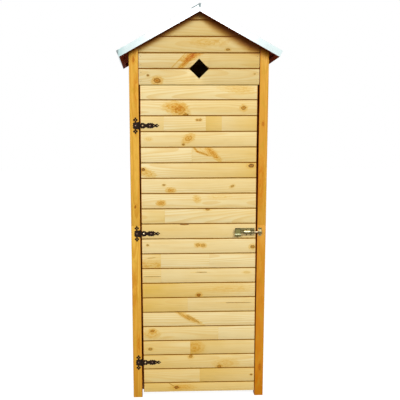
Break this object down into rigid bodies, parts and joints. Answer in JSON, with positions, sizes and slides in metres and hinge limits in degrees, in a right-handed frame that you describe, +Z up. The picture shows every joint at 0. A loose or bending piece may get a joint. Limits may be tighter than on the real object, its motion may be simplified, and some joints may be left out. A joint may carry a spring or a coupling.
{
  "type": "garden tool cabinet",
  "caption": "Tall narrow wooden tool cabinet with jointed posts, boarded walls and door, vented gable, strap hinges, barrel bolt and a metal-covered pitched roof.",
  "frame": {"origin": "on the ground, under the middle of the roof", "axes": "+X to the right when seen from the door side, +Y to the back, +Z up"},
  "size_m": [0.772, 0.4916, 1.9],
  "materials": {
    "pine_boards": "clear-oiled planed pine",
    "pine_posts": "honey-stained planed pine",
    "pine_inside": "bare sawn pine",
    "roof_wood": "dark red-brown stain",
    "zinc_sheet": "bright galvanised sheet",
    "hinge_black": "black satin lacquer",
    "latch_yellow_zinc": "olive yellow-passivated zinc",
    "bolt_steel": "dull grey-beige plated steel"
  },
  "bodies": {
    "cabinet": {"post_front_left_lower": "pine_posts", "post_front_left_upper": "pine_posts", "post_front_right_lower": "pine_posts", "post_front_right_upper": "pine_posts", "post_back_left_lower": "pine_posts", "post_back_left_upper": "pine_posts", "post_back_right_lower": "pine_posts", "post_back_right_upper": "pine_posts", "left_wall_lower": "pine_boards", "left_wall_upper": "pine_boards", "right_wall_lower": "pine_boards", "right_wall_upper": "pine_boards", "back_wall_lower": "pine_boards", "back_wall_upper": "pine_boards", "back_gable": "pine_boards", "front_gable_lower": "pine_boards", "front_gable_upper": "pine_boards", "head_rail": "pine_inside", "front_gable_cleats": "pine_inside", "left_wall_cleats": "pine_inside", "right_wall_cleats": "pine_inside", "back_wall_cleats": "pine_inside", "left_top_rail": "pine_inside", "right_top_rail": "pine_inside", "ridge_beam": "pine_inside", "floor_panel": "pine_inside", "floor_bearers": "pine_inside", "roof_board_left": "roof_wood", "roof_board_right": "roof_wood", "roof_battens_left": "roof_wood", "roof_battens_right": "roof_wood", "roof_sheet_left": "zinc_sheet", "roof_sheet_right": "zinc_sheet", "ridge_cap": "zinc_sheet", "hinge_plate_top": "hinge_black", "hinge_plate_middle": "hinge_black", "hinge_plate_bottom": "hinge_black", "bolt_keeper": "latch_yellow_zinc"},
    "door": {"door_leaf": "pine_boards", "door_ledges": "pine_inside", "hinge_strap_top": "hinge_black", "hinge_strap_middle": "hinge_black", "hinge_strap_bottom": "hinge_black", "bolt_plate": "latch_yellow_zinc"},
    "bolt": {"bolt": "bolt_steel"}
  },
  "joints": [
    {"name": "door_hinge", "type": "hinge", "parent": "cabinet", "child": "door", "pos_m": [-0.283, -0.2086, 0], "axis": [0, 0, -1], "range_deg": [0, 170]},
    {"name": "bolt_slide", "type": "slide", "parent": "door", "child": "bolt", "axis": [1, 0, 0], "range_m": [-0.018, 0.01]}
  ]
}
